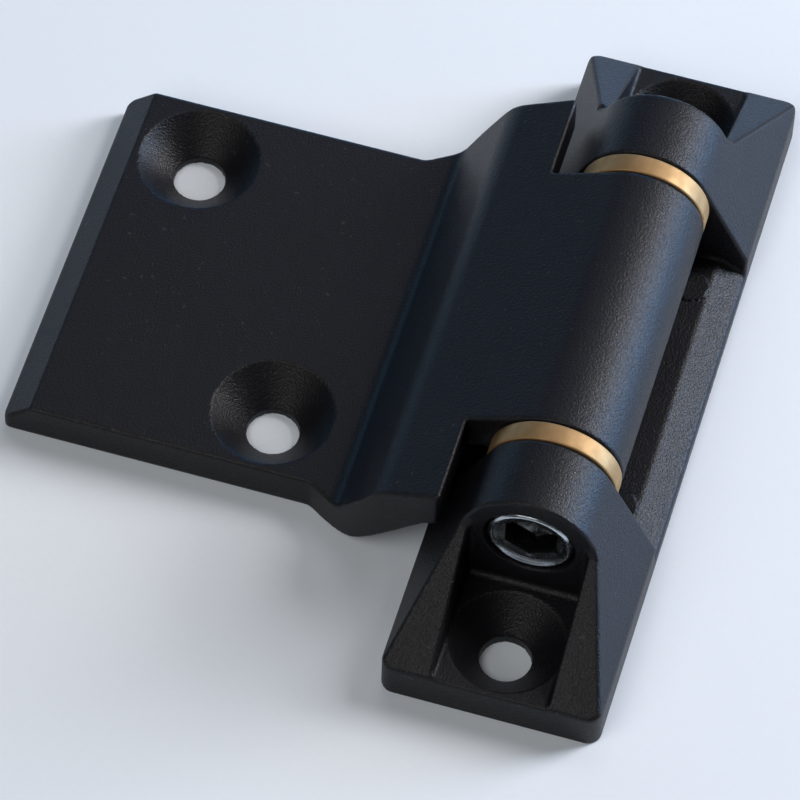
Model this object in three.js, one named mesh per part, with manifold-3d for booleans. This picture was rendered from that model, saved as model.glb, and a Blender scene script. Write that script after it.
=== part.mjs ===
// Heavy-duty cast block hinge: a frame leaf with two knuckle blocks, a cranked door leaf
// between them, a two-part hinge pin, brass thrust washers and pressed-in bushes.
// Millimetres. X runs across the hinge, Y along the pin, Z up from the mounting plane.
// The door leaf lies towards -X, in its closed position.
import * as THREE from 'three';
import { mergeVertices } from 'three/addons/utils/BufferGeometryUtils.js';
import Module from 'manifold-3d';

const wasm = await Module();
wasm.setup();

// Driving dimensions, frame leaf
const AXIS_HEIGHT = 13.2;
const BARREL_RADIUS = 7.5;
const FRAME_LENGTH = 87.2;
const FRAME_WIDTH = 25;
const FRAME_THICKNESS = 5;
const FRAME_CORNER_RADIUS = 1.6;
const SADDLE_HEIGHT = 4.3;
const SADDLE_HALF_WIDTH = 9.1;
const SADDLE_EDGE_HEIGHT = 2.35;
const KNUCKLE_INNER = 20.1;
const KNUCKLE_OUTER = 28.7;
const RAMP_TOP = 14.6;
const POCKET_HALF_WIDTH = 6.6;
const FRAME_HOLE_Y = 36.5;

// Driving dimensions, door leaf
const PLATE_THICKNESS = 5;
const PLATE_HALF_WIDTH = 23.1;
const PLATE_FAR_EDGE = -62.7;
const PLATE_LIP = 1.9;
const BEVEL_RUN = 3.4;
const PLATE_CORNER_RADIUS = 1.2;
const WING_HALF_WIDTH = 28.2;
const WING_EDGE_X = -10.4;
const LEAF_BARREL_HALF = 17.4;
const CRANK_SLOPE = THREE.MathUtils.degToRad(24);
const RISER_SLOPE = THREE.MathUtils.degToRad(58);
const RISER_FOOT_X = -22.9;
const UNDERSIDE_SLOPE = THREE.MathUtils.degToRad(47);
const UNDERSIDE_FOOT_X = -21.9;
const UNDERSIDE_RADIUS = 7.8;
const SHOULDER_RADIUS = 5;
const FOOT_RADIUS = 2;
const FLARE_START_X = -26.6;
const FLARE_END = [-22.6, 25.6];
const FLARE_BEND = [-19.4, 27.3];
const LEAF_HOLES = [[-51.6, 15.4], [-33.2, -15.4]];

// Screw holes: countersunk at 90 degrees
const FRAME_HOLE_RADIUS = 2.9;
const FRAME_SINK_RADIUS = 6.5;
const LEAF_HOLE_RADIUS = 3;
const LEAF_SINK_RADIUS = 6.95;

// Pin, washers and bushes
const SHANK_RADIUS = 4;
const SHANK_BORE_RADIUS = 4.1;
const HEAD_RADIUS = 4.9;
const HEAD_LENGTH = 4.3;
const HEAD_CHAMFER = 0.4;
const HEAD_BORE_RADIUS = 5.15;
const HEAD_BORE_DEPTH = 4.5;
const HEAD_SEAT = KNUCKLE_OUTER - HEAD_BORE_DEPTH;
const SOCKET_RADIUS = 3.3;
const SOCKET_DEPTH = 3.2;
const SCREW_RADIUS = 2.5;
const THREAD_BORE_RADIUS = 2.6;
const SCREW_LENGTH = 16;
const THREAD_BORE_DEPTH = 18;
const SLEEVE_END_GAP = 0.5;
const WASHER_THICKNESS = 2.4;
const WASHER_CLEARANCE = 0.15;
const BUSH_RADIUS = 5.2;
const BUSH_LENGTH = 12;
const BUSH_SEAT_GAP = 0.03;

const ROUND_STEPS = 48;
const CURVE_STEPS = 20;
const CLEAR = 1;

// ---- helpers -------------------------------------------------------------------------

function closed(geometry) {
  const bare = geometry.index ? geometry.toNonIndexed() : geometry.clone();
  bare.deleteAttribute('normal');
  bare.deleteAttribute('uv');
  return mergeVertices(bare, 1e-5);
}

function solid(geometry) {
  const mesh = closed(geometry);
  return new wasm.Manifold(new wasm.Mesh({
    numProp: 3,
    vertProperties: new Float32Array(mesh.attributes.position.array),
    triVerts: new Uint32Array(mesh.index.array),
  }));
}

function geometryOf(manifold) {
  const mesh = manifold.getMesh();
  const geometry = new THREE.BufferGeometry();
  geometry.setAttribute('position', new THREE.BufferAttribute(mesh.vertProperties, 3));
  geometry.setIndex(new THREE.BufferAttribute(mesh.triVerts, 1));
  return geometry;
}

// A prism of an XY outline between two heights.
function prismZ(shape, low, high) {
  const geometry = new THREE.ExtrudeGeometry(shape, {
    depth: high - low, bevelEnabled: false, curveSegments: CURVE_STEPS,
  });
  return solid(geometry.translate(0, 0, low));
}

// A prism of an XZ outline, centred on Y = 0.
function prismY(shape, halfLength) {
  const geometry = new THREE.ExtrudeGeometry(shape, {
    depth: 2 * halfLength, bevelEnabled: false, curveSegments: CURVE_STEPS,
  });
  geometry.rotateX(Math.PI / 2);
  return solid(geometry.translate(0, halfLength, 0));
}

// A prism of a YZ outline, centred on X = 0.
function prismX(shape, halfLength) {
  const geometry = new THREE.ExtrudeGeometry(shape, {
    depth: 2 * halfLength, bevelEnabled: false, curveSegments: CURVE_STEPS,
  });
  geometry.translate(0, 0, -halfLength);
  geometry.rotateX(Math.PI / 2);
  return solid(geometry.rotateZ(Math.PI / 2));
}

function box(low, high) {
  const size = high.map((value, i) => value - low[i]);
  const middle = high.map((value, i) => (value + low[i]) / 2);
  return solid(new THREE.BoxGeometry(...size).translate(...middle));
}

// A turned body on the pin axis. The outline is a list of [radius, y], on or back to the axis.
function turned(outline) {
  const points = outline.map(([radius, y]) => new THREE.Vector2(radius, y));
  return new THREE.LatheGeometry(points, ROUND_STEPS).translate(0, 0, AXIS_HEIGHT);
}

// A plain ring on the pin axis, its outline closed on itself.
function ring(inner, outer, low, high) {
  return turned([[inner, low], [outer, low], [outer, high], [inner, high], [inner, low]]);
}

function boreCutter(radius, low, high) {
  return solid(turned([[0, low], [radius, low], [radius, high], [0, high]]));
}

// A countersunk screw hole from below the mounting plane to above the given top face.
function screwHole(x, y, topFace, holeRadius, sinkRadius) {
  const outline = [
    [0, -CLEAR],
    [holeRadius, -CLEAR],
    [holeRadius, topFace - (sinkRadius - holeRadius)],
    [sinkRadius, topFace],
    [sinkRadius, topFace + CLEAR],
    [0, topFace + CLEAR],
  ];
  const points = outline.map(([radius, z]) => new THREE.Vector2(radius, z));
  const cutter = new THREE.LatheGeometry(points, ROUND_STEPS).rotateX(Math.PI / 2);
  return solid(cutter.translate(x, y, 0));
}

function ordered(first, second) {
  return [Math.min(first, second), Math.max(first, second)];
}

function roundedRectangle(halfX, halfY, radius) {
  const shape = new THREE.Shape();
  shape.moveTo(halfX - radius, -halfY);
  shape.absarc(halfX - radius, -halfY + radius, radius, -Math.PI / 2, 0, false);
  shape.absarc(halfX - radius, halfY - radius, radius, 0, Math.PI / 2, false);
  shape.absarc(-halfX + radius, halfY - radius, radius, Math.PI / 2, Math.PI, false);
  shape.absarc(-halfX + radius, -halfY + radius, radius, Math.PI, 1.5 * Math.PI, false);
  shape.closePath();
  return shape;
}

// ---- frame leaf ----------------------------------------------------------------------

// Round-topped block section: flanks run tangent to the knuckle down to the plate's edges.
function blockSection() {
  const half = FRAME_WIDTH / 2;
  const drop = AXIS_HEIGHT - FRAME_THICKNESS;
  const reach = Math.hypot(half, drop);
  const tangent = Math.asin(BARREL_RADIUS / reach) + Math.atan2(drop, half);
  const start = Math.PI / 2 - tangent;
  const shape = new THREE.Shape();
  shape.moveTo(-half, 0);
  shape.lineTo(half, 0);
  shape.lineTo(half, FRAME_THICKNESS);
  shape.absarc(0, AXIS_HEIGHT, BARREL_RADIUS, start, Math.PI - start, false);
  shape.lineTo(-half, FRAME_THICKNESS);
  shape.closePath();
  return shape;
}

// What is cut away above the saddle, which is flat in the middle and falls to both edges.
function saddleSection() {
  const edge = FRAME_WIDTH / 2;
  const above = AXIS_HEIGHT + BARREL_RADIUS + CLEAR;
  const fall = (SADDLE_HEIGHT - SADDLE_EDGE_HEIGHT) / (edge - SADDLE_HALF_WIDTH);
  const outside = SADDLE_EDGE_HEIGHT - fall * CLEAR;
  const right = [[SADDLE_HALF_WIDTH, SADDLE_HEIGHT], [edge + CLEAR, outside], [edge + CLEAR, above]];
  const left = right.map(([x, z]) => [-x, z]).reverse();
  return new THREE.Shape([...right, ...left].map(([x, z]) => new THREE.Vector2(x, z)));
}

// What is cut away above the ramp that falls from a knuckle's end face to the plate's end.
function rampSection(side) {
  const end = FRAME_LENGTH / 2;
  const above = AXIS_HEIGHT + BARREL_RADIUS + CLEAR;
  const past = FRAME_THICKNESS - CLEAR * (RAMP_TOP - FRAME_THICKNESS) / (end - KNUCKLE_OUTER);
  const corners = [
    [KNUCKLE_OUTER, RAMP_TOP],
    [end + CLEAR, past],
    [end + CLEAR, above],
    [KNUCKLE_OUTER, above],
  ];
  return new THREE.Shape(corners.map(([y, z]) => new THREE.Vector2(side * y, z)));
}

function frameLeaf() {
  const end = FRAME_LENGTH / 2;
  const top = AXIS_HEIGHT + BARREL_RADIUS + CLEAR;
  const footprint = roundedRectangle(FRAME_WIDTH / 2, end, FRAME_CORNER_RADIUS);
  let leaf = prismY(blockSection(), end + CLEAR).intersect(prismZ(footprint, 0, top));
  leaf = leaf.subtract(prismY(saddleSection(), KNUCKLE_INNER));
  for (const side of [-1, 1]) {
    leaf = leaf.subtract(prismX(rampSection(side), FRAME_WIDTH));
    const [near, far] = ordered(side * KNUCKLE_OUTER, side * (end + CLEAR));
    leaf = leaf.subtract(box(
      [-POCKET_HALF_WIDTH, near, FRAME_THICKNESS],
      [POCKET_HALF_WIDTH, far, top],
    ));
    const y = side * FRAME_HOLE_Y;
    leaf = leaf.subtract(screwHole(0, y, FRAME_THICKNESS, FRAME_HOLE_RADIUS, FRAME_SINK_RADIUS));
    const seat = ordered(side * HEAD_SEAT, side * (KNUCKLE_OUTER + CLEAR));
    leaf = leaf.subtract(boreCutter(HEAD_BORE_RADIUS, ...seat));
  }
  leaf = leaf.subtract(boreCutter(SHANK_BORE_RADIUS, -KNUCKLE_OUTER, KNUCKLE_OUTER));
  return geometryOf(leaf);
}

// ---- door leaf -----------------------------------------------------------------------

// Where two sloping lines of the side outline cross.
function crossing([x1, z1], slope1, [x2, z2], slope2) {
  const rise1 = Math.tan(slope1);
  const rise2 = Math.tan(slope2);
  const x = (z2 - z1 + rise1 * x1 - rise2 * x2) / (rise1 - rise2);
  return [x, z1 + rise1 * (x - x1)];
}

// Rounds a convex or hollow corner of an outline with an arc tangent to both of its sides.
function roundCorner(shape, before, corner, after, radius) {
  const [a, b, c] = [before, corner, after].map(([x, y]) => new THREE.Vector2(x, y));
  const toA = a.clone().sub(b).normalize();
  const toC = c.clone().sub(b).normalize();
  const half = toA.angleTo(toC) / 2;
  const setback = radius / Math.tan(half);
  const first = b.clone().addScaledVector(toA, setback);
  const middle = toA.clone().add(toC).normalize();
  const centre = b.clone().addScaledVector(middle, radius / Math.sin(half));
  const last = b.clone().addScaledVector(toC, setback);
  const clockwise = toA.cross(toC) > 0;
  const from = Math.atan2(first.y - centre.y, first.x - centre.x);
  const to = Math.atan2(last.y - centre.y, last.x - centre.x);
  shape.lineTo(first.x, first.y);
  shape.absarc(centre.x, centre.y, radius, from, to, clockwise);
}

// Side outline of the door leaf: a plate with a bevelled far edge, then the riser, shoulder
// and crank up to the barrel. The crank's top face runs tangent to the barrel.
function leafSection() {
  const barrelTop = [
    -BARREL_RADIUS * Math.sin(CRANK_SLOPE),
    AXIS_HEIGHT + BARREL_RADIUS * Math.cos(CRANK_SLOPE),
  ];
  const crankUnder = [barrelTop[0], barrelTop[1] - PLATE_THICKNESS / Math.cos(CRANK_SLOPE)];
  const foot = [RISER_FOOT_X, PLATE_THICKNESS];
  const underFoot = [UNDERSIDE_FOOT_X, 0];
  const shoulder = crossing(barrelTop, CRANK_SLOPE, foot, RISER_SLOPE);
  const underShoulder = crossing(crankUnder, CRANK_SLOPE, underFoot, UNDERSIDE_SLOPE);
  const farEdge = [PLATE_FAR_EDGE, 0];
  const farTop = [PLATE_FAR_EDGE + BEVEL_RUN, PLATE_THICKNESS];
  const shape = new THREE.Shape();
  shape.moveTo(...farEdge);
  roundCorner(shape, farEdge, underFoot, underShoulder, UNDERSIDE_RADIUS);
  shape.lineTo(...underShoulder);
  shape.lineTo(...crankUnder);
  shape.lineTo(...barrelTop);
  roundCorner(shape, barrelTop, shoulder, foot, SHOULDER_RADIUS);
  roundCorner(shape, shoulder, foot, farTop, FOOT_RADIUS);
  shape.lineTo(...farTop);
  shape.lineTo(PLATE_FAR_EDGE, PLATE_LIP);
  shape.closePath();
  return shape;
}

// Plan outline: a straight plate that flares into the wider crank, then steps in at the barrel.
function leafPlan() {
  const cornerX = PLATE_FAR_EDGE + PLATE_CORNER_RADIUS;
  const cornerY = PLATE_HALF_WIDTH - PLATE_CORNER_RADIUS;
  const [flareX, flareY] = FLARE_END;
  const [bendX, bendY] = FLARE_BEND;
  const shape = new THREE.Shape();
  shape.moveTo(PLATE_FAR_EDGE, cornerY);
  shape.quadraticCurveTo(PLATE_FAR_EDGE, PLATE_HALF_WIDTH, cornerX, PLATE_HALF_WIDTH);
  shape.lineTo(FLARE_START_X, PLATE_HALF_WIDTH);
  shape.lineTo(flareX, flareY);
  shape.quadraticCurveTo(bendX, bendY, WING_EDGE_X, WING_HALF_WIDTH);
  shape.lineTo(WING_EDGE_X, LEAF_BARREL_HALF);
  shape.lineTo(BARREL_RADIUS, LEAF_BARREL_HALF);
  shape.lineTo(BARREL_RADIUS, -LEAF_BARREL_HALF);
  shape.lineTo(WING_EDGE_X, -LEAF_BARREL_HALF);
  shape.lineTo(WING_EDGE_X, -WING_HALF_WIDTH);
  shape.quadraticCurveTo(bendX, -bendY, flareX, -flareY);
  shape.lineTo(FLARE_START_X, -PLATE_HALF_WIDTH);
  shape.lineTo(cornerX, -PLATE_HALF_WIDTH);
  shape.quadraticCurveTo(PLATE_FAR_EDGE, -PLATE_HALF_WIDTH, PLATE_FAR_EDGE, -cornerY);
  shape.closePath();
  return shape;
}

function doorLeaf() {
  const top = AXIS_HEIGHT + BARREL_RADIUS + CLEAR;
  const side = prismY(leafSection(), WING_HALF_WIDTH + CLEAR);
  let leaf = side.intersect(prismZ(leafPlan(), -CLEAR, top));
  leaf = leaf.add(boreCutter(BARREL_RADIUS, -LEAF_BARREL_HALF, LEAF_BARREL_HALF));
  for (const [x, y] of LEAF_HOLES) {
    leaf = leaf.subtract(screwHole(x, y, PLATE_THICKNESS, LEAF_HOLE_RADIUS, LEAF_SINK_RADIUS));
  }
  const reach = LEAF_BARREL_HALF + CLEAR;
  leaf = leaf.subtract(boreCutter(BUSH_RADIUS + BUSH_SEAT_GAP, -reach, reach));
  return geometryOf(leaf);
}

// ---- pin -----------------------------------------------------------------------------

// Six-sided driving socket cut into a head's outer face.
function socketCutter(side) {
  const face = side * (HEAD_SEAT + HEAD_LENGTH);
  const [low] = ordered(face + side * CLEAR, face - side * SOCKET_DEPTH);
  const depth = SOCKET_DEPTH + CLEAR;
  const hexagon = new THREE.CylinderGeometry(SOCKET_RADIUS, SOCKET_RADIUS, depth, 6);
  return solid(hexagon.translate(0, low + depth / 2, AXIS_HEIGHT));
}

// Female half: a chamfered socket head and a long shank, bored for the screw from its far end.
function pinSleeve() {
  const shoulder = -HEAD_SEAT;
  const face = shoulder - HEAD_LENGTH;
  const end = HEAD_SEAT - SLEEVE_END_GAP;
  const body = solid(turned([
    [0, face],
    [HEAD_RADIUS - HEAD_CHAMFER, face],
    [HEAD_RADIUS, face + HEAD_CHAMFER],
    [HEAD_RADIUS, shoulder],
    [SHANK_RADIUS, shoulder],
    [SHANK_RADIUS, end],
    [0, end],
  ]));
  const bore = boreCutter(THREAD_BORE_RADIUS, end - THREAD_BORE_DEPTH, end + CLEAR);
  return geometryOf(body.subtract(bore).subtract(socketCutter(-1)));
}

// Male half: the same head, and a threaded shank that screws into the sleeve.
function pinScrew() {
  const shoulder = HEAD_SEAT;
  const face = shoulder + HEAD_LENGTH;
  const tip = shoulder - SLEEVE_END_GAP - SCREW_LENGTH;
  const body = solid(turned([
    [0, tip],
    [SCREW_RADIUS, tip],
    [SCREW_RADIUS, shoulder],
    [HEAD_RADIUS, shoulder],
    [HEAD_RADIUS, face - HEAD_CHAMFER],
    [HEAD_RADIUS - HEAD_CHAMFER, face],
    [0, face],
  ]));
  return geometryOf(body.subtract(socketCutter(1)));
}

// ---- washers and bushes --------------------------------------------------------------

function thrustWasher(side) {
  const outer = KNUCKLE_INNER - WASHER_CLEARANCE;
  const ends = ordered(side * outer, side * (outer - WASHER_THICKNESS));
  return ring(SHANK_BORE_RADIUS, BARREL_RADIUS, ...ends);
}

function bush(side) {
  const ends = ordered(side * LEAF_BARREL_HALF, side * (LEAF_BARREL_HALF - BUSH_LENGTH));
  return ring(SHANK_BORE_RADIUS, BUSH_RADIUS, ...ends);
}

// ---- assembly ------------------------------------------------------------------------

const blackPowderCoat = { color: 0x232126, roughness: 0.55, metalness: 0.1 };
const brass = { color: 0xb08a4c, roughness: 0.35, metalness: 1 };
const steel = { color: 0x8d9298, roughness: 0.3, metalness: 1 };

function piece(name, geometry, finish) {
  const mesh = new THREE.Mesh(geometry, new THREE.MeshStandardMaterial(finish));
  mesh.name = name;
  return mesh;
}

const hinge = new THREE.Group();
hinge.add(piece('frame_leaf', frameLeaf(), blackPowderCoat));
hinge.add(piece('door_leaf', doorLeaf(), blackPowderCoat));
hinge.add(piece('pin_sleeve', pinSleeve(), steel));
hinge.add(piece('pin_screw', pinScrew(), steel));
hinge.add(piece('front_thrust_washer', thrustWasher(-1), brass));
hinge.add(piece('rear_thrust_washer', thrustWasher(1), brass));
hinge.add(piece('front_bush', bush(-1), brass));
hinge.add(piece('rear_bush', bush(1), brass));

export default hinge;
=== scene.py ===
"""Looks of the cranked block hinge: fine castings, turned pin and washers, materials and studio."""
import math

import bpy
import numpy as np
from mathutils import Matrix


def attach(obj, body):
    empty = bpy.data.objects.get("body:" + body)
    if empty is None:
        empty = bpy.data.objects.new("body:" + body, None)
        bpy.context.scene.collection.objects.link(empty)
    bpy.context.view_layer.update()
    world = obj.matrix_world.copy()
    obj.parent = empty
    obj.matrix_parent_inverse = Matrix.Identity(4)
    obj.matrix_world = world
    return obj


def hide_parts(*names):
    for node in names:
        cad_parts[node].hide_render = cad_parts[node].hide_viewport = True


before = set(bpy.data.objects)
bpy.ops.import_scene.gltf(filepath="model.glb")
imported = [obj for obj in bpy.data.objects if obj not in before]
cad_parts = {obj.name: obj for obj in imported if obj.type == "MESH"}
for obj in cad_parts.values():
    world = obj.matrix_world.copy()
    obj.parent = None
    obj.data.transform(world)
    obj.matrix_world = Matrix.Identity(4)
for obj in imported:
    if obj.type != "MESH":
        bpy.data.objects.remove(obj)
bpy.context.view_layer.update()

# ---- dimensions, in millimetres --------------------------------------------------------

MM = 0.001
AXIS_HEIGHT = 13.2
BARREL_RADIUS = 7.5
FRAME_HALF_WIDTH = 12.5
FRAME_HALF_LENGTH = 43.6
FRAME_THICKNESS = 5.0
FRAME_CORNER = 1.6
SADDLE_HEIGHT = 4.3
SADDLE_HALF_WIDTH = 9.1
SADDLE_EDGE_HEIGHT = 2.35
SADDLE_EDGE_RADIUS = 1.2
KNUCKLE_INNER = 20.1
KNUCKLE_OUTER = 28.7
RAMP_TOP = 14.6
POCKET_HALF_WIDTH = 6.6
POCKET_DRAFT = 0.02
POCKET_FILLET = 0.5
POCKET_EDGE = 0.28
RAMP_FILLET = 0.8
FRAME_HOLE_Y = 36.5
FRAME_HOLE_RADIUS = 2.9
FRAME_SINK_RADIUS = 6.5
EJECTOR_X = 7.0
EJECTOR_Y = 15.5
EJECTOR_RADIUS = 1.95
EJECTOR_WAVE = 0.12
EJECTOR_HALF_HEIGHT = 0.16
EJECTOR_PROUD = 0.02
EJECTOR_RIM = 0.2
PIT = (-8.05, 30.2, 13.6)
PIT_RADIUS = 0.5

PLATE_THICKNESS = 5.0
PLATE_HALF_WIDTH = 23.1
PLATE_FAR_EDGE = -62.7
PLATE_LIP = 1.9
PLATE_CORNER = 1.0
BEVEL_RUN = 3.4
WING_HALF_WIDTH = 28.2
WING_EDGE_X = -10.4
WING_TAPER = 5.7
LEAF_BARREL_HALF = 17.4
CRANK_SLOPE = 24.0
RISER_SLOPE = 58.0
RISER_FOOT_X = -22.9
UNDERSIDE_SLOPE = 47.0
UNDERSIDE_FOOT_X = -21.9
UNDERSIDE_RADIUS = 7.8
UNDERSIDE_FILLET = 2.0
SHOULDER_RADIUS = 5.0
FOOT_RADIUS = 2.0
FLARE_START_X = -26.6
FLARE_SLOPE = 32.0
FLARE_RADIUS = 13.0
FLARE_FILLET = 2.0
NOTCH_FILLET = 0.25
NOTCH_EDGE = 0.5
BLEND_RADIUS = 1.2
BLEND_TOP = 17.0
BLEND_FADE = 3.0
LEAF_HOLES = ((-51.6, 15.4), (-33.2, -15.4))
LEAF_HOLE_RADIUS = 3.0
LEAF_SINK_RADIUS = 6.95

SHANK_RADIUS = 4.0
SHANK_BORE_RADIUS = 4.1
HEAD_RADIUS = 4.9
HEAD_LENGTH = 4.3
HEAD_BORE_RADIUS = 5.15
HEAD_SEAT = 24.2
SOCKET_DEPTH = 3.2
SOCKET_HALF_FLATS = 2.86
SHANK_FILLET = 0.1
SHANK_CHAMFER = 0.3
SCREW_RADIUS = 2.5
SCREW_LENGTH = 16.0
THREAD_BORE_RADIUS = 2.6
THREAD_BORE_DEPTH = 18.0
THREAD_PITCH = 0.8
THREAD_DEPTH = 0.22
THREAD_START = 2.0
UNTHREADED_LENGTH = 3.0
DRILL_POINT_DEPTH = 1.2
POINT_RADIUS = 0.02
SLEEVE_END_GAP = 0.5
WASHER_THICKNESS = 2.4
WASHER_CLEARANCE = 0.15
WASHER_EDGE = 0.28
BUSH_RADIUS = 5.2
BUSH_BORE_RADIUS = 5.23
BUSH_LENGTH = 12.0
BUSH_EDGE = 0.3

EDGE = 0.35         # rounding of the castings' outer edges
FINE_EDGE = 0.3     # the frame leaf's underside, the barrel's ends, a countersink's bottom
SINK_EDGE = 0.25    # a countersink's mouth, a head bore's mouth and the plate's far edge
FILLET = 0.6        # rounding of their inner corners

FRAME_CELL = 0.31   # grids fine enough for the edges, and coarse enough that each
LEAF_CELL = 0.34    # casting stays under 200,000 triangles
PULLS = 4           # steps that bring each meshed point onto the surface
LEAST_STEEPNESS = 0.2   # least squared slope used in a step, so that no point flies off
AROUND = 120        # points in each ring of a turned piece
ANGLES = np.arange(AROUND) * 2 * math.pi / AROUND

DEEP_BLUE = (0.06, 0.42, 1.0)
PALE_BLUE = (0.30, 0.62, 1.0)
ROSE_WHITE = (1.0, 0.98, 1.0)
WARM_ROSE_WHITE = (1.0, 0.97, 1.0)


# ---- signed distance fields: negative inside the metal ---------------------------------

def both(a, b, radius=0.0, turn=90.0):
    """What lies in both fields, its edge rounded where the surface turns through that angle."""
    c = math.cos(math.radians(turn))
    s = math.sin(math.radians(turn))
    u = a + radius
    v = b + radius
    arc = np.sqrt(np.maximum(u * u + v * v - 2 * c * u * v, 0)) / s - radius
    return np.where((v > c * u) & (u > c * v), arc, np.maximum(a, b))


def either(a, b, radius=0.0, turn=90.0):
    """What lies in one field or the other, with a fillet in the hollow between them."""
    return -both(-a, -b, radius, turn)


def plane(x, z, at, angle):
    """Below a line through a point that rises towards +x at that angle."""
    slope = math.radians(angle)
    return (z - at[1]) * math.cos(slope) - (x - at[0]) * math.sin(slope)


def screw_hole(x, y, z, centre, hole, sink, top):
    """Everything outside a countersunk hole."""
    r = np.hypot(x - centre[0], y - centre[1])
    cone = np.minimum((z - top + sink - r) * math.sqrt(0.5), sink - r)
    return both(hole - r, cone, FINE_EDGE, 45)


def block_section(x, z):
    """Round top about the pin, with flanks tangent to it down to the plate's edges."""
    drop = AXIS_HEIGHT - FRAME_THICKNESS
    reach = math.hypot(FRAME_HALF_WIDTH, drop)
    lean = math.asin(BARREL_RADIUS / reach) + math.atan2(drop, FRAME_HALF_WIDTH)
    c, s = math.sin(lean), math.cos(lean)
    across = np.abs(x)
    up = z - AXIS_HEIGHT
    flank = c * across + s * up - BARREL_RADIUS
    dome = np.hypot(across, up) - BARREL_RADIUS
    return np.where(up * c > across * s, dome, flank)


def frame_plan(x, y):
    """Outline of the frame leaf from above: a rectangle with round corners."""
    qx = np.abs(x) - FRAME_HALF_WIDTH + FRAME_CORNER
    qy = np.abs(y) - FRAME_HALF_LENGTH + FRAME_CORNER
    outside = np.hypot(np.maximum(qx, 0), np.maximum(qy, 0))
    return outside + np.minimum(np.maximum(qx, qy), 0) - FRAME_CORNER


def below_saddle(x, y, z):
    """Under the saddle's top: flat in the middle, falling to both edges, with ejector marks."""
    fall = math.atan2(SADDLE_HEIGHT - SADDLE_EDGE_HEIGHT, FRAME_HALF_WIDTH - SADDLE_HALF_WIDTH)
    bank = (z - SADDLE_HEIGHT) * math.cos(fall)
    bank = bank + (np.abs(x) - SADDLE_HALF_WIDTH) * math.sin(fall)
    top = both(z - SADDLE_HEIGHT, bank, SADDLE_EDGE_RADIUS, math.degrees(fall))
    r = np.hypot(np.abs(x) - EJECTOR_X, np.abs(y) - EJECTOR_Y)
    wobble = EJECTOR_WAVE * np.sin(5.1 * x + 1.3 * y) * np.sin(2.3 * y + 1.7 * x)
    outside = r - EJECTOR_RADIUS + wobble
    disc = np.abs(z - SADDLE_HEIGHT - EJECTOR_PROUD) - EJECTOR_HALF_HEIGHT
    rim = np.hypot(outside, z - SADDLE_HEIGHT + EJECTOR_PROUD) - EJECTOR_RIM
    return either(either(top, np.maximum(disc, outside)), rim, 0.05)


def frame_leaf_field(x, y, z):
    """The long cast leaf: two knuckle blocks with ramps and screw pockets, and the saddle."""
    side = np.abs(y)
    body = both(block_section(x, z), frame_plan(x, y), EDGE, 60)
    body = both(body, -z, FINE_EDGE)
    slope = math.atan2(RAMP_TOP - FRAME_THICKNESS, FRAME_HALF_LENGTH - KNUCKLE_OUTER)
    ramp = (z - RAMP_TOP) * math.cos(slope) + (side - KNUCKLE_OUTER) * math.sin(slope)
    half_width = POCKET_HALF_WIDTH + POCKET_DRAFT * (z - FRAME_THICKNESS)
    pocket = either(half_width - np.abs(x), z - FRAME_THICKNESS, POCKET_FILLET)
    under = both(ramp, pocket, POCKET_EDGE)
    body = both(body, either(side - KNUCKLE_OUTER, under, RAMP_FILLET), EDGE)
    gap = either(KNUCKLE_INNER - side, below_saddle(x, y, z), FILLET)
    body = both(body, gap, EDGE)
    hole = screw_hole(x, side, z, (0, FRAME_HOLE_Y), FRAME_HOLE_RADIUS, FRAME_SINK_RADIUS,
                      FRAME_THICKNESS)
    body = both(body, hole, SINK_EDGE, 60)
    rho = np.hypot(x, z - AXIS_HEIGHT)
    bore = either(HEAD_BORE_RADIUS - rho, side - HEAD_SEAT, 0.1)
    body = both(body, bore, SINK_EDGE)
    body = both(body, SHANK_BORE_RADIUS - rho, 0.1)
    pit = PIT_RADIUS - np.sqrt((x - PIT[0]) ** 2 + (y - PIT[1]) ** 2 + (z - PIT[2]) ** 2)
    return both(body, pit, 0.1)


def leaf_section(x, z):
    """Side outline of the door leaf without its barrel."""
    lean = math.radians(CRANK_SLOPE)
    crank = math.cos(lean) * (z - AXIS_HEIGHT) - math.sin(lean) * x - BARREL_RADIUS
    riser = plane(x, z, (RISER_FOOT_X, PLATE_THICKNESS), RISER_SLOPE)
    raised = both(riser, crank, SHOULDER_RADIUS, RISER_SLOPE - CRANK_SLOPE)
    top = either(z - PLATE_THICKNESS, raised, FOOT_RADIUS, RISER_SLOPE)
    beneath = -plane(x, z, (UNDERSIDE_FOOT_X, 0), UNDERSIDE_SLOPE)
    beneath = either(beneath, -crank - PLATE_THICKNESS, UNDERSIDE_FILLET,
                     UNDERSIDE_SLOPE - CRANK_SLOPE)
    under = both(-z, beneath, UNDERSIDE_RADIUS, UNDERSIDE_SLOPE)
    slab = both(top, under)
    rise = math.degrees(math.atan2(PLATE_THICKNESS - PLATE_LIP, BEVEL_RUN))
    bevel = plane(x, z, (PLATE_FAR_EDGE, PLATE_LIP), rise)
    slab = both(slab, bevel, EDGE, rise)
    return both(slab, PLATE_FAR_EDGE - x, SINK_EDGE, 70)


def leaf_plan(x, y):
    """Outline from above: a straight plate that flares into the wider crank."""
    side = np.abs(y)
    flare = plane(x, side, (FLARE_START_X, PLATE_HALF_WIDTH), FLARE_SLOPE)
    wing = plane(x, side, (WING_EDGE_X, WING_HALF_WIDTH), WING_TAPER)
    wing = both(flare, wing, FLARE_RADIUS, FLARE_SLOPE - WING_TAPER)
    plate = side - PLATE_HALF_WIDTH
    plan = either(plate, wing, FLARE_FILLET, FLARE_SLOPE)
    notch = either(x - WING_EDGE_X, side - LEAF_BARREL_HALF, NOTCH_FILLET)
    return both(both(plan, notch, NOTCH_EDGE), PLATE_FAR_EDGE - x, PLATE_CORNER)


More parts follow.
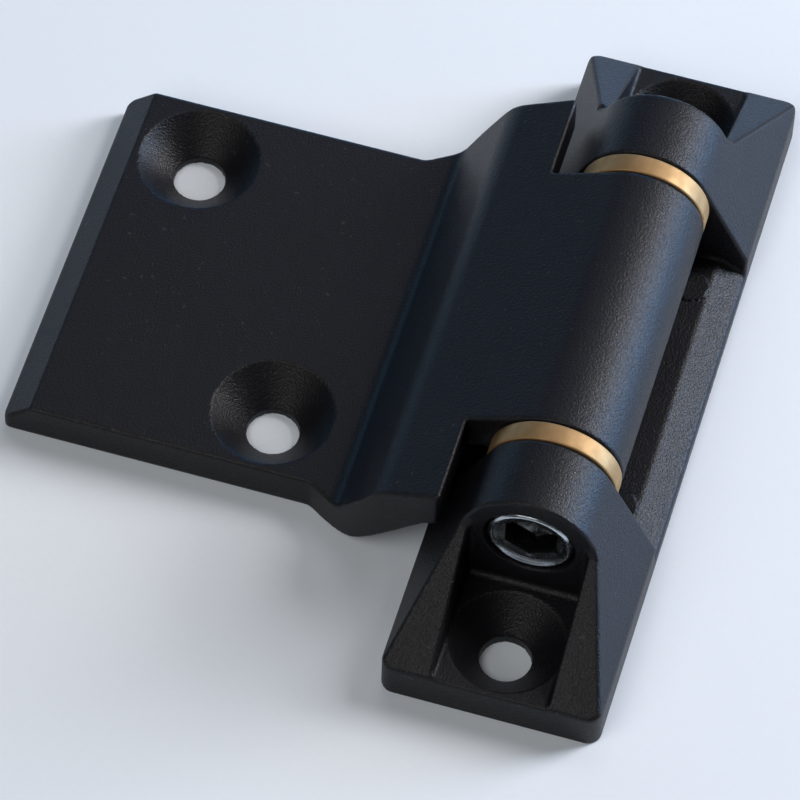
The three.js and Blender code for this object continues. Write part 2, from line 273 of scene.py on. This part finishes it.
def door_leaf_field(x, y, z):
    """The cranked leaf and its barrel."""
    crank = both(leaf_section(x, z), leaf_plan(x, y), EDGE)
    tangent_x = -BARREL_RADIUS * math.sin(math.radians(CRANK_SLOPE))
    crank = both(crank, x - tangent_x)
    rho = np.hypot(x, z - AXIS_HEIGHT)
    barrel = both(rho - BARREL_RADIUS, np.abs(y) - LEAF_BARREL_HALF, FINE_EDGE)
    # The fillet fades out towards the top. It also swells the barrel's ends by up to 0.35 mm,
    # which takes them 0.20 mm into the washers.
    blend = BLEND_RADIUS * np.clip((BLEND_TOP - z) / BLEND_FADE, 0.001, 1)
    body = either(crank, barrel, blend)
    for centre in LEAF_HOLES:
        hole = screw_hole(x, y, z, centre, LEAF_HOLE_RADIUS, LEAF_SINK_RADIUS, PLATE_THICKNESS)
        body = both(body, hole, SINK_EDGE, 45)
    return both(body, BUSH_BORE_RADIUS - rho, 0.2)


# ---- meshing ---------------------------------------------------------------------------

def gradient(field, points, step=0.01):
    """Direction and size of steepest rise of a field at each point."""
    slope = np.zeros_like(points)
    for axis in range(3):
        shift = np.zeros(3)
        shift[axis] = step
        ahead = field(*(points + shift).T)
        behind = field(*(points - shift).T)
        slope[:, axis] = (ahead - behind) / (2 * step)
    return slope


def grid_cells(value):
    """Corner cells and crossing points of every grid edge that passes through the surface."""
    for axis in range(3):
        low = np.take(value, range(value.shape[axis] - 1), axis)
        high = np.take(value, range(1, value.shape[axis]), axis)
        where = np.argwhere((low < 0) != (high < 0))
        at = tuple(where.T)
        crossing = where.astype(float)
        crossing[:, axis] += low[at] / (low[at] - high[at])
        cells = []
        for u, v in ((0, 0), (1, 0), (1, 1), (0, 1)):
            cell = where.copy()
            cell[:, (axis + 1) % 3] -= u
            cell[:, (axis + 2) % 3] -= v
            cells.append(np.ravel_multi_index(tuple(cell.T), value.shape))
        quads = np.stack(cells, axis=1)
        leaving = low[at] < 0
        quads[~leaving] = quads[~leaving][:, ::-1]
        yield quads, crossing


def skin(field, low, high, cell):
    """Points, quads and normals of a field's zero surface: a point in each crossed grid cell."""
    axes = [np.arange(a - 2 * cell, b + 2 * cell, cell) for a, b in zip(low, high)]
    x, y, z = np.meshgrid(*axes, indexing="ij", sparse=True)
    value = field(x, y, z) + np.zeros((len(axes[0]), len(axes[1]), len(axes[2])))
    quads, crossings = zip(*grid_cells(value))
    owners = np.concatenate([q.ravel() for q in quads])
    marks = np.concatenate([np.repeat(c, 4, axis=0) for c in crossings])
    used, index = np.unique(owners, return_inverse=True)
    count = np.bincount(index)
    points = np.stack([np.bincount(index, marks[:, k]) / count for k in range(3)], axis=1)
    points = points * cell + np.array([a[0] for a in axes])
    for _ in range(PULLS):
        slope = gradient(field, points)
        size = np.maximum((slope * slope).sum(1), LEAST_STEEPNESS)
        move = slope * (field(*points.T) / size)[:, None]
        points -= np.clip(move, -cell / 2, cell / 2)
    normals = gradient(field, points)
    normals /= np.maximum(np.linalg.norm(normals, axis=1), 1e-6)[:, None]
    return points, index.reshape(-1, 4), normals


def mesh_object(name, points, faces):
    """A mesh in metres from points in millimetres."""
    mesh = bpy.data.meshes.new(name)
    mesh.from_pydata((np.asarray(points) * MM).tolist(), [], [list(f) for f in faces])
    mesh.update()
    mesh.polygons.foreach_set("use_smooth", [True] * len(mesh.polygons))
    piece = bpy.data.objects.new(name, mesh)
    bpy.context.scene.collection.objects.link(piece)
    return piece


def casting(name, field, low, high, cell):
    """A piece meshed from a field, shaded with the field's own normals."""
    points, faces, normals = skin(field, low, high, cell)
    piece = mesh_object(name, points, faces.tolist())
    piece.data.normals_split_custom_set_from_vertices(normals.tolist())
    return piece


def softened(outline, radius, steps=4):
    """A closed outline of (r, y) corners with each corner replaced by a short arc."""
    corners = np.array(outline, float)
    result = []
    for k, corner in enumerate(corners):
        before = corners[k - 1] - corner
        after = corners[(k + 1) % len(corners)] - corner
        reach = min(radius, np.linalg.norm(before) * 0.4, np.linalg.norm(after) * 0.4)
        start = corner + before / np.linalg.norm(before) * reach
        end = corner + after / np.linalg.norm(after) * reach
        for t in np.linspace(0, 1, steps + 1):
            result.append((1 - t) ** 2 * start + 2 * t * (1 - t) * corner + t * t * end)
    return result


def loft(name, rings, closed, sharp=40.0):
    """Skins rings of points. Closed joins the last ring to the first, else both ends are capped."""
    points = np.concatenate(rings)
    count, around = len(rings), len(rings[0])
    faces = []
    for k in range(count if closed else count - 1):
        a, b = k * around, (k + 1) % count * around
        for j in range(around):
            n = (j + 1) % around
            faces.append((a + j, a + n, b + n, b + j))
    if not closed:
        faces.append(tuple(range(around))[::-1])
        faces.append(tuple(range((count - 1) * around, count * around)))
    piece = mesh_object(name, points, faces)
    piece.data.set_sharp_from_angle(angle=math.radians(sharp))
    return piece


def circle(radius, y):
    """A ring of points about the pin. The radius is one number, or one for each point."""
    along = np.full(AROUND, float(y))
    return np.stack([radius * np.sin(ANGLES), along, AXIS_HEIGHT + radius * np.cos(ANGLES)], 1)


def hexagon(half_flats, y, roundness=0.0):
    """A ring between a hexagon, 0, and a circle through the hexagon's corners, 1."""
    turn = np.mod(ANGLES, math.pi / 3) - math.pi / 6
    corner = half_flats / math.cos(math.pi / 6)
    return circle((1 - roundness) * half_flats / np.cos(turn) + roundness * corner, y)


def ring_piece(name, inner, outer, low, high, rounding):
    """A washer or bush about the pin, between two values of y."""
    outline = softened([(inner, low), (outer, low), (outer, high), (inner, high)], rounding)
    return loft(name, [circle(r, y) for r, y in outline], closed=True)


def head_rings(side):
    """Head of a pin half from the socket's floor out over the rim and back to the shoulder."""
    face = HEAD_SEAT + HEAD_LENGTH
    floor = face - SOCKET_DEPTH
    flats = SOCKET_HALF_FLATS
    drill_point = [hexagon(POINT_RADIUS, floor - 0.9), hexagon(1.4, floor - 0.25, 0.3)]
    socket = [hexagon(flats - 0.12, floor), hexagon(flats, floor + 0.12),
              hexagon(flats, face - 0.75), hexagon(flats + 0.06, face - 0.6)]
    mouth = [hexagon(3.3, face - 0.42, 0.7)]
    dish = [(3.65, 0.36), (4.05, 0.22), (4.22, 0.12), (4.32, 0.02), (4.42, 0.0)]
    rim = [(4.5, 0.02), (4.62, 0.1), (4.76, 0.24), (4.85, 0.38), (4.89, 0.5), (HEAD_RADIUS, 0.65)]
    back = [(HEAD_RADIUS, HEAD_LENGTH - 0.15), (HEAD_RADIUS - 0.1, HEAD_LENGTH)]
    rings = drill_point + socket + mouth
    rings += [circle(r, face - depth) for r, depth in dish + rim + back]
    for ring in rings:
        ring[:, 1] *= side
    return rings


def pin_half(name, side, outline):
    """A head and a shank. The outline runs from the shoulder along the shank, as (radius, |y|)."""
    shank = [circle(r, y * side) for r, y in outline]
    rings = head_rings(side) + shank
    if side > 0:
        rings = [ring[::-1] for ring in rings]
    return loft(name, rings, closed=False)


def pin_sleeve():
    """Its shank is hollow at the far end, for the screw."""
    shoulder = HEAD_SEAT
    far = -HEAD_SEAT + SLEEVE_END_GAP
    deep = far + THREAD_BORE_DEPTH
    outline = [
        (SHANK_RADIUS + SHANK_FILLET, shoulder), (SHANK_RADIUS, shoulder - SHANK_FILLET),
        (SHANK_RADIUS, far + SHANK_CHAMFER), (SHANK_RADIUS - SHANK_CHAMFER, far),
        (THREAD_BORE_RADIUS + SHANK_CHAMFER, far), (THREAD_BORE_RADIUS, far + SHANK_CHAMFER),
        (THREAD_BORE_RADIUS, deep), (POINT_RADIUS, deep + DRILL_POINT_DEPTH),
    ]
    return pin_half("sleeve_of_pin", -1, outline)


def pin_screw():
    """Its shank carries a rolled thread."""
    shoulder = HEAD_SEAT
    tip = shoulder - SLEEVE_END_GAP - SCREW_LENGTH
    root = SCREW_RADIUS - THREAD_DEPTH
    outline = [(SCREW_RADIUS + SHANK_FILLET, shoulder), (SCREW_RADIUS, shoulder - SHANK_FILLET)]
    for k in range(int((SCREW_LENGTH - UNTHREADED_LENGTH) / THREAD_PITCH)):
        start = shoulder - THREAD_START - k * THREAD_PITCH
        outline += [(SCREW_RADIUS, start), (root, start - THREAD_PITCH / 2)]
    outline += [(root, tip + 0.5), (SCREW_RADIUS - 0.6, tip), (POINT_RADIUS, tip)]
    return pin_half("screw_of_pin", 1, outline)


# ---- materials -------------------------------------------------------------------------

class Nodes:
    """Short calls for building a material's node tree."""

    def __init__(self, name):
        self.material = bpy.data.materials.new(name)
        self.material.use_nodes = True
        self.tree = self.material.node_tree
        self.shader = self.tree.nodes["Principled BSDF"]
        self.place = self.add("ShaderNodeTexCoord").outputs["Object"]

    def add(self, kind, **settings):
        """A new node of that kind."""
        node = self.tree.nodes.new(kind)
        for key, value in settings.items():
            setattr(node, key, value)
        return node

    def link(self, source, target):
        self.tree.links.new(source, target)

    def noise(self, scale, detail=2.0, roughness=0.5, vector=None):
        """Noise with features of about that many per metre, from 0 to 1."""
        node = self.add("ShaderNodeTexNoise")
        self.link(vector or self.place, node.inputs["Vector"])
        node.inputs["Scale"].default_value = scale
        node.inputs["Detail"].default_value = detail
        node.inputs["Roughness"].default_value = roughness
        return node.outputs["Fac"]

    def stretch(self, scale):
        """The object's coordinates, squeezed by a factor along each axis."""
        node = self.add("ShaderNodeMapping")
        self.link(self.place, node.inputs["Vector"])
        node.inputs["Scale"].default_value = scale
        return node.outputs["Vector"]

    def remap(self, source, low, high, to_low, to_high):
        """Carries the range from low to high over to another range."""
        node = self.add("ShaderNodeMapRange")
        self.link(source, node.inputs["Value"])
        for key, value in (("From Min", low), ("From Max", high),
                           ("To Min", to_low), ("To Max", to_high)):
            node.inputs[key].default_value = value
        return node.outputs["Result"]

    def mix(self, factor, first, second):
        """Blends two colours, each a tuple or a socket."""
        node = self.add("ShaderNodeMix", data_type="RGBA")
        self.link(factor, node.inputs["Factor"])
        for key, colour in (("A", first), ("B", second)):
            socket = [s for s in node.inputs if s.name == key and s.type == "RGBA"][0]
            if isinstance(colour, tuple):
                socket.default_value = colour + (1.0,)
            else:
                self.link(colour, socket)
        return [s for s in node.outputs if s.type == "RGBA"][0]

    def math(self, operation, first, second=0.0):
        """A Math node on numbers or sockets. Some operations use only the first."""
        node = self.add("ShaderNodeMath", operation=operation)
        for socket, value in zip(node.inputs, (first, second)):
            if isinstance(value, (int, float)):
                socket.default_value = value
            else:
                self.link(value, socket)
        return node.outputs["Value"]

    def bump(self, height, distance, strength):
        """A normal from a height. The distance is in metres."""
        node = self.add("ShaderNodeBump")
        self.link(height, node.inputs["Height"])
        node.inputs["Distance"].default_value = distance
        node.inputs["Strength"].default_value = strength
        return node.outputs["Normal"]

    def finish(self, **sockets):
        """Sets shader sockets to values or links them. Underscores stand for spaces."""
        for key, value in sockets.items():
            socket = self.shader.inputs[key.replace("_", " ")]
            if isinstance(value, (int, float)):
                socket.default_value = value
            elif isinstance(value, tuple):
                socket.default_value = value + (1.0,)
            else:
                self.link(value, socket)
        return self.material


def powder_coat():
    """Satin black powder coat: fine orange peel, a slight violet cast and a few pale specks."""
    n = Nodes("powder_coat")
    peel = n.noise(3800.0, 1.5, 0.6)
    grain = n.noise(7000.0, 1.0, 0.6)
    cloud = n.noise(90.0, 3.0, 0.55)
    speck = n.remap(n.noise(1500.0, 1.0, 0.4), 0.74, 0.78, 0.0, 1.0)
    darkest = (0.0034, 0.0031, 0.0043)
    middle = (0.0050, 0.0046, 0.0062)
    lightest = (0.0085, 0.0080, 0.0103)
    dust = (0.04, 0.04, 0.045)
    tone = n.mix(n.remap(cloud, 0.3, 0.7, 0, 1), darkest, middle)
    tone = n.mix(n.remap(grain, 0.35, 0.7, 0, 0.5), tone, lightest)
    tone = n.mix(n.math("MULTIPLY", speck, 0.6), tone, dust)
    height = n.math("ADD", peel, n.math("MULTIPLY", grain, 0.5))
    normal = n.bump(height, 0.00010, 0.8)
    gloss = n.remap(peel, 0.3, 0.7, 0.38, 0.48)
    return n.finish(Base_Color=tone, Roughness=gloss, Normal=normal, Specular_IOR_Level=0.27)


def brass(name, light, dark, gloss):
    """Turned brass: fine lines round the pin and a slightly mottled tone."""
    n = Nodes(name)
    lines = n.noise(1.0, 2.0, 0.6, n.stretch((60.0, 9000.0, 60.0)))
    patch = n.noise(260.0, 3.0, 0.6)
    axial = n.noise(1.0, 2.0, 0.5, n.stretch((700.0, 60.0, 700.0)))
    tone = n.mix(n.remap(patch, 0.3, 0.7, 0, 1), light, dark)
    tone = n.mix(n.remap(axial, 0.45, 0.65, 0, 0.6), tone, dark)
    normal = n.bump(lines, 0.00001, 0.35)
    rough = n.remap(patch, 0.3, 0.7, gloss, gloss + 0.12)
    return n.finish(Base_Color=tone, Roughness=rough, Normal=normal, Metallic=1.0)


def pin_steel():
    """Turned steel, mottled, with painted shade that darkens the pin within about 4 mm of its axis,
    most of all down in the socket.
    """
    n = Nodes("pin_steel")
    split = n.add("ShaderNodeSeparateXYZ")
    n.link(n.place, split.inputs["Vector"])
    along = n.math("ABSOLUTE", split.outputs["Y"])
    up = n.math("SUBTRACT", split.outputs["Z"], AXIS_HEIGHT * MM)
    across = n.math("MULTIPLY", split.outputs["X"], split.outputs["X"])
    radius = n.math("SQRT", n.math("ADD", across, n.math("MULTIPLY", up, up)))
    face = (HEAD_SEAT + HEAD_LENGTH) * MM
    # Painted shade: a mask that is full within 3.9 mm of the axis and fades out by 4.3 mm, stronger
    # deeper in, damped a little by mottle.
    inner = n.remap(radius, 3.9 * MM, 4.3 * MM, 1.0, 0.0)
    deep = n.remap(along, face - 1.6 * MM, face - 0.1 * MM, 1.0, 0.78)
    painted_socket_shade = n.math("MULTIPLY", inner, deep)
    grime_and_shade_mottle = n.noise(900.0, 3.0, 0.6)
    painted_socket_shade = n.math("MULTIPLY", painted_socket_shade, n.remap(grime_and_shade_mottle, 0.3, 0.6, 0.75, 1.0))
    lines = n.noise(1.0, 2.0, 0.6, n.stretch((300.0, 5000.0, 300.0)))
    dull, bright, socket_shade_colour = (0.50, 0.54, 0.58), (0.62, 0.66, 0.70), (0.03, 0.028, 0.022)
    tone = n.mix(n.remap(grime_and_shade_mottle, 0.3, 0.7, 0, 1), dull, bright)
    # Painted shade: the socket and the middle of the head are mixed towards near-black.
    tone = n.mix(painted_socket_shade, tone, socket_shade_colour)
    normal = n.bump(lines, 0.000012, 0.4)
    rough = n.remap(grime_and_shade_mottle, 0.3, 0.7, 0.22, 0.34)
    return n.finish(Base_Color=tone, Roughness=rough, Normal=normal, Metallic=1.0)


def plain_floor():
    """Matt, pale studio paper."""
    n = Nodes("studio_paper")
    fibre = n.noise(1500.0, 3.0, 0.6)
    tone = n.mix(fibre, (0.79, 0.84, 0.89), (0.83, 0.87, 0.91))
    return n.finish(Base_Color=tone, Roughness=0.85)


# ---- pieces ----------------------------------------------------------------------------

def place(piece, body, node, material):
    """Gives a piece its material and body, and hides the CAD node that it replaces."""
    piece.data.materials.append(material)
    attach(piece, body)
    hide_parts(node)
    return piece


def build_castings(coat):
    """The two leaves, meshed in the boxes that they fill."""
    top = AXIS_HEIGHT + BARREL_RADIUS
    leaf = casting("cast_frame_leaf", frame_leaf_field,
                   (-FRAME_HALF_WIDTH, -FRAME_HALF_LENGTH, 0),
                   (FRAME_HALF_WIDTH, FRAME_HALF_LENGTH, top), FRAME_CELL)
    place(leaf, "frame", "frame_leaf", coat)
    leaf = casting("cast_door_leaf", door_leaf_field,
                   (PLATE_FAR_EDGE, -WING_HALF_WIDTH, 0),
                   (BARREL_RADIUS, WING_HALF_WIDTH, top), LEAF_CELL)
    place(leaf, "leaf", "door_leaf", coat)


def build_pin(steel):
    """The two halves of the pin."""
    place(pin_sleeve(), "frame", "pin_sleeve", steel)
    place(pin_screw(), "frame", "pin_screw", steel)


def build_rings():
    """A washer and a bush at each end of the barrel."""
    washer_metal = brass("washer_brass", (0.50, 0.315, 0.15), (0.34, 0.215, 0.10), 0.56)
    bush_metal = brass("bush_brass", (0.62, 0.44, 0.24), (0.48, 0.33, 0.18), 0.34)
    outer = KNUCKLE_INNER - WASHER_CLEARANCE
    inner = outer - WASHER_THICKNESS
    bush_end = LEAF_BARREL_HALF - BUSH_LENGTH
    for end, side in (("front", -1), ("rear", 1)):
        low, high = sorted((side * inner, side * outer))
        washer = ring_piece(f"{end}_washer", SHANK_BORE_RADIUS, BARREL_RADIUS, low, high,
                            WASHER_EDGE)
        place(washer, "frame", f"{end}_thrust_washer", washer_metal)
        low, high = sorted((side * bush_end, side * LEAF_BARREL_HALF))
        bush = ring_piece(f"{end}_bearing", SHANK_BORE_RADIUS, BUSH_RADIUS, low, high, BUSH_EDGE)
        place(bush, "leaf", f"{end}_bush", bush_metal)


# ---- studio ----------------------------------------------------------------------------

def soft_light(name, direction, distance, size, power, colour=(1, 1, 1)):
    """A square area light that faces the hinge from that direction."""
    lamp = bpy.data.lights.new(name, "AREA")
    lamp.shape = "SQUARE"
    lamp.size = size
    lamp.energy = power
    lamp.color = colour
    holder = bpy.data.objects.new(name, lamp)
    length = math.sqrt(sum(c * c for c in direction))
    holder.location = [c / length * distance for c in direction]
    back = np.array(direction) / length
    side = np.cross((0, 0, 1), back)
    side /= np.linalg.norm(side)
    up = np.cross(back, side)
    aim = Matrix([[side[k], up[k], back[k]] for k in range(3)])
    holder.rotation_euler = aim.to_euler()
    bpy.context.scene.collection.objects.link(holder)


def build_floor(material):
    """A grid of squares just below the hinge, in metres."""
    half, count, drop = 1.5, 6, 0.00002
    steps = np.linspace(-half, half, count)
    points = [(x, y, -drop) for x in steps for y in steps]
    faces = [(i * count + j, (i + 1) * count + j, (i + 1) * count + j + 1, i * count + j + 1)
             for i in range(count - 1) for j in range(count - 1)]
    mesh = bpy.data.meshes.new("floor")
    mesh.from_pydata(points, [], faces)
    mesh.materials.append(material)
    floor = bpy.data.objects.new("floor", mesh)
    bpy.context.scene.collection.objects.link(floor)


def build_world():
    """A faint, cool fill from all round."""
    world = bpy.data.worlds.new("studio")
    world.use_nodes = True
    background = world.node_tree.nodes["Background"]
    background.inputs["Color"].default_value = (0.90, 0.95, 1.0, 1)
    background.inputs["Strength"].default_value = 0.03
    bpy.context.scene.world = world


def build_lights():
    """White lights from above, and low blue ones for the coat's blue reflections."""
    soft_light("key_high", (0.55, 0.45, 0.70), 0.9, 0.35, 3.2, ROSE_WHITE)
    soft_light("key", (0.76, 0.53, 0.40), 0.9, 0.30, 6.2, ROSE_WHITE)
    soft_light("right_blue", (0.84, 0.50, 0.05), 0.9, 0.35, 8.0, DEEP_BLUE)
    soft_light("left_blue", (-0.84, 0.53, 0.08), 0.9, 0.40, 1.0, PALE_BLUE)
    soft_light("back_blue", (-0.14, 0.98, 0.06), 0.9, 0.40, 2.4, DEEP_BLUE)
    soft_light("high_back", (-0.14, 0.53, 0.84), 1.2, 0.60, 1.4, WARM_ROSE_WHITE)
    soft_light("overhead", (-0.35, -0.75, 1.0), 1.3, 0.90, 6.4)


def build_camera():
    """Looks down from the front at the whole hinge, with a long lens."""
    azimuth, elevation, roll = math.radians(14.80), math.radians(56.58), math.radians(1.982)
    distance, side_step, lens, sensor = 0.6468, -0.02188, 257.1, 36.0
    back = np.array([math.sin(azimuth) * math.cos(elevation),
                     -math.cos(azimuth) * math.cos(elevation), math.sin(elevation)])
    level = np.array([math.cos(azimuth), math.sin(azimuth), 0.0])
    upright = np.cross(back, level)
    right = math.cos(roll) * level + math.sin(roll) * upright
    up = np.cross(back, right)
    data = bpy.data.cameras.new("camera")
    data.sensor_width = sensor
    data.lens = lens
    camera = bpy.data.objects.new("camera", data)
    camera.matrix_world = Matrix.Translation(distance * back + side_step * right) @ Matrix(
        [[right[k], up[k], back[k]] for k in range(3)]).to_4x4()
    bpy.context.scene.collection.objects.link(camera)
    bpy.context.scene.camera = camera


build_castings(powder_coat())
build_pin(pin_steel())
build_rings()
build_floor(plain_floor())
build_world()
build_lights()
build_camera()
bpy.context.scene.view_settings.view_transform = "Standard"
